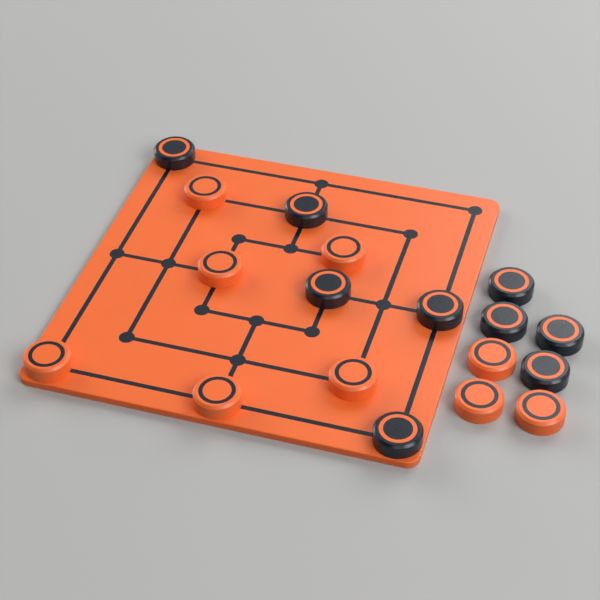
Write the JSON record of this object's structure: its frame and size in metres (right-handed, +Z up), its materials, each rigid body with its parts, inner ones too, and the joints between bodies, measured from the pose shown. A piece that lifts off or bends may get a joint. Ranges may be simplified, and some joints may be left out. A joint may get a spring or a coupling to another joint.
{
  "type": "nine mens morris set",
  "caption": "Nine mens morris set: a thin square playing board with rounded corners and flush inlaid lines, and loose round men in contrasting colours with inlaid rings, which lift off it.",
  "frame": {"origin": "middle of the board's underside, which lies on the table together with the loose men's undersides", "axes": "+X to the right along the board's front edge, towards the loose men; +Y away from the front edge; +Z up out of the playing face"},
  "size_m": [0.2596, 0.2, 0.012],
  "materials": {
    "orange_plastic": "satin moulded plastic, bright orange",
    "dark_plastic": "satin moulded plastic, blue-black"
  },
  "bodies": {
    "board": {"board": "orange_plastic", "line_inlay": "dark_plastic"},
    "dark_man_1": {"dark_man_1": "dark_plastic", "dark_man_1_ring": "orange_plastic"},
    "dark_man_2": {"dark_man_2": "dark_plastic", "dark_man_2_ring": "orange_plastic"},
    "dark_man_3": {"dark_man_3": "dark_plastic", "dark_man_3_ring": "orange_plastic"},
    "dark_man_4": {"dark_man_4": "dark_plastic", "dark_man_4_ring": "orange_plastic"},
    "dark_man_5": {"dark_man_5": "dark_plastic", "dark_man_5_ring": "orange_plastic"},
    "dark_man_6": {"dark_man_6": "dark_plastic", "dark_man_6_ring": "orange_plastic"},
    "dark_man_7": {"dark_man_7": "dark_plastic", "dark_man_7_ring": "orange_plastic"},
    "dark_man_8": {"dark_man_8": "dark_plastic", "dark_man_8_ring": "orange_plastic"},
    "dark_man_9": {"dark_man_9": "dark_plastic", "dark_man_9_ring": "orange_plastic"},
    "orange_man_1": {"orange_man_1": "orange_plastic", "orange_man_1_ring": "dark_plastic"},
    "orange_man_2": {"orange_man_2": "orange_plastic", "orange_man_2_ring": "dark_plastic"},
    "orange_man_3": {"orange_man_3": "orange_plastic", "orange_man_3_ring": "dark_plastic"},
    "orange_man_4": {"orange_man_4": "orange_plastic", "orange_man_4_ring": "dark_plastic"},
    "orange_man_5": {"orange_man_5": "orange_plastic", "orange_man_5_ring": "dark_plastic"},
    "orange_man_6": {"orange_man_6": "orange_plastic", "orange_man_6_ring": "dark_plastic"},
    "orange_man_7": {"orange_man_7": "orange_plastic", "orange_man_7_ring": "dark_plastic"},
    "orange_man_8": {"orange_man_8": "orange_plastic", "orange_man_8_ring": "dark_plastic"},
    "orange_man_9": {"orange_man_9": "orange_plastic", "orange_man_9_ring": "dark_plastic"}
  },
  "joints": [
    {"name": "dark_man_1_lift", "type": "slide", "parent": "board", "child": "dark_man_1", "axis": [0, 0, 1], "range_m": [0, 0.03]},
    {"name": "dark_man_2_lift", "type": "slide", "parent": "board", "child": "dark_man_2", "axis": [0, 0, 1], "range_m": [0, 0.03]},
    {"name": "dark_man_3_lift", "type": "slide", "parent": "board", "child": "dark_man_3", "axis": [0, 0, 1], "range_m": [0, 0.03]},
    {"name": "dark_man_4_lift", "type": "slide", "parent": "board", "child": "dark_man_4", "axis": [0, 0, 1], "range_m": [0, 0.03]},
    {"name": "dark_man_5_lift", "type": "slide", "parent": "board", "child": "dark_man_5", "axis": [0, 0, 1], "range_m": [0, 0.03]},
    {"name": "dark_man_6_lift", "type": "slide", "parent": "board", "child": "dark_man_6", "axis": [0, 0, 1], "range_m": [0, 0.03]},
    {"name": "dark_man_7_lift", "type": "slide", "parent": "board", "child": "dark_man_7", "axis": [0, 0, 1], "range_m": [0, 0.03]},
    {"name": "dark_man_8_lift", "type": "slide", "parent": "board", "child": "dark_man_8", "axis": [0, 0, 1], "range_m": [0, 0.03]},
    {"name": "dark_man_9_lift", "type": "slide", "parent": "board", "child": "dark_man_9", "axis": [0, 0, 1], "range_m": [0, 0.03]},
    {"name": "orange_man_1_lift", "type": "slide", "parent": "board", "child": "orange_man_1", "axis": [0, 0, 1], "range_m": [0, 0.03]},
    {"name": "orange_man_2_lift", "type": "slide", "parent": "board", "child": "orange_man_2", "axis": [0, 0, 1], "range_m": [0, 0.03]},
    {"name": "orange_man_3_lift", "type": "slide", "parent": "board", "child": "orange_man_3", "axis": [0, 0, 1], "range_m": [0, 0.03]},
    {"name": "orange_man_4_lift", "type": "slide", "parent": "board", "child": "orange_man_4", "axis": [0, 0, 1], "range_m": [0, 0.03]},
    {"name": "orange_man_5_lift", "type": "slide", "parent": "board", "child": "orange_man_5", "axis": [0, 0, 1], "range_m": [0, 0.03]},
    {"name": "orange_man_6_lift", "type": "slide", "parent": "board", "child": "orange_man_6", "axis": [0, 0, 1], "range_m": [0, 0.03]},
    {"name": "orange_man_7_lift", "type": "slide", "parent": "board", "child": "orange_man_7", "axis": [0, 0, 1], "range_m": [0, 0.03]},
    {"name": "orange_man_8_lift", "type": "slide", "parent": "board", "child": "orange_man_8", "axis": [0, 0, 1], "range_m": [0, 0.03]},
    {"name": "orange_man_9_lift", "type": "slide", "parent": "board", "child": "orange_man_9", "axis": [0, 0, 1], "range_m": [0, 0.03]}
  ]
}
